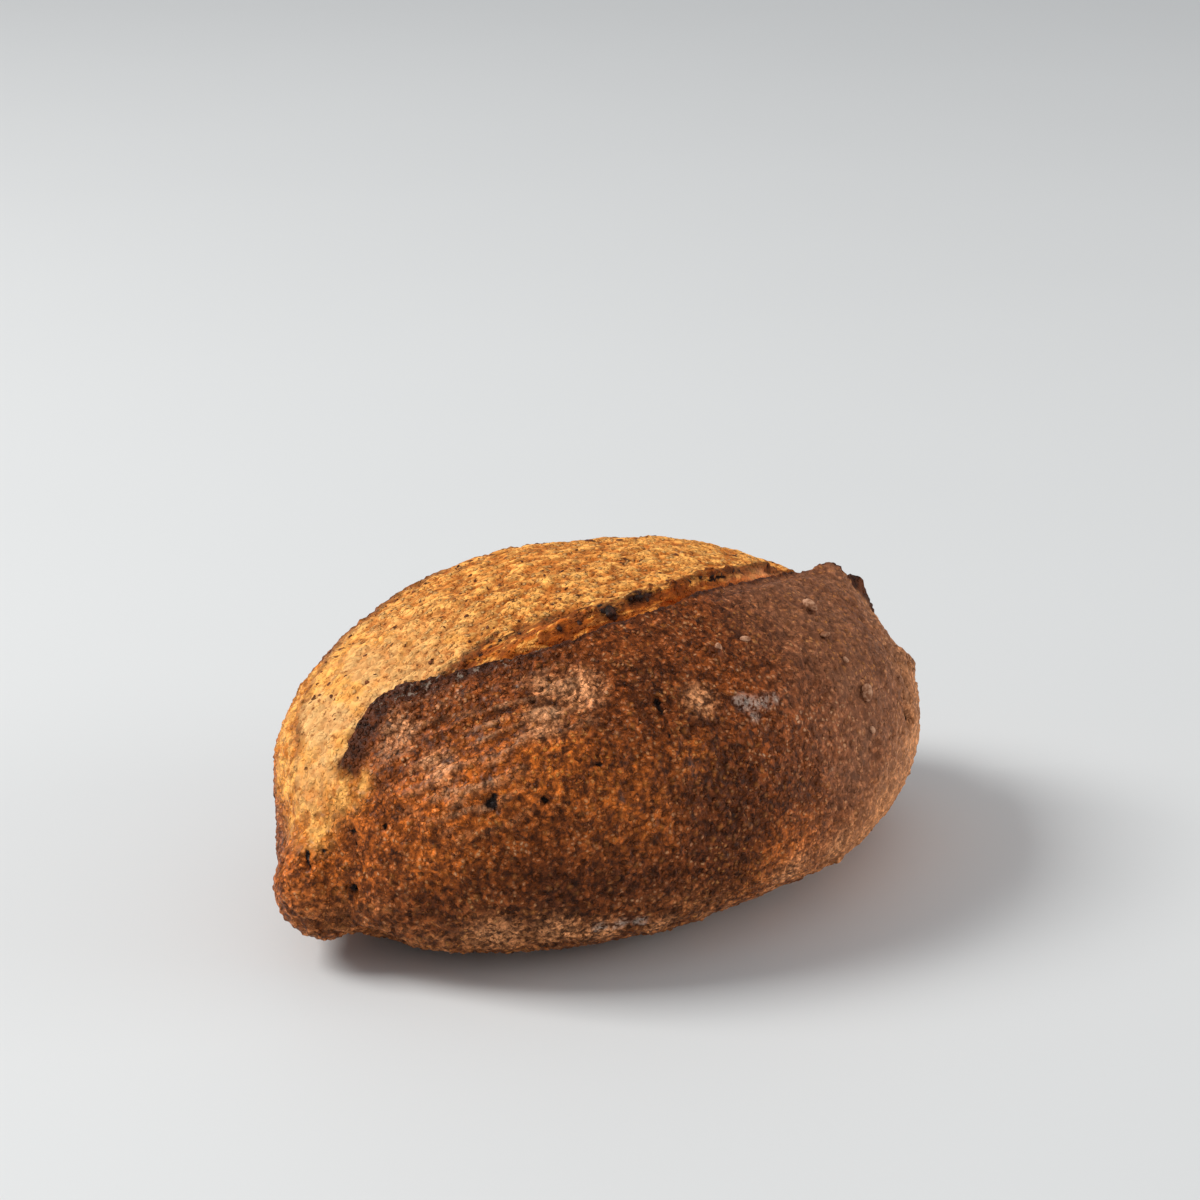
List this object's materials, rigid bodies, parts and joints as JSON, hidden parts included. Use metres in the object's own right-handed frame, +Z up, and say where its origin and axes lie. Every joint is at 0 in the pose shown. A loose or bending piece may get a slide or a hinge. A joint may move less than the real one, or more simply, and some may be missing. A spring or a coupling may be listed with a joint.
{
  "type": "sourdough loaf",
  "caption": "Plump oval hearth loaf with one lengthwise slash, a lifted ear, an open bloom and a hooked nose at one end. It stands on its flat base.",
  "frame": {"origin": "middle of the loaf's box in plan, at the height of the flat base it stands on", "axes": "+X along the loaf from the hooked nose to the other end, +Y from the ear's side to the bloom's side, +Z up"},
  "size_m": [0.26, 0.1786, 0.113],
  "materials": {
    "crust": "baked crust, golden in the bloom and dark brown on the ear's side"
  },
  "bodies": {
    "root": {"loaf": "crust"}
  },
  "joints": []
}
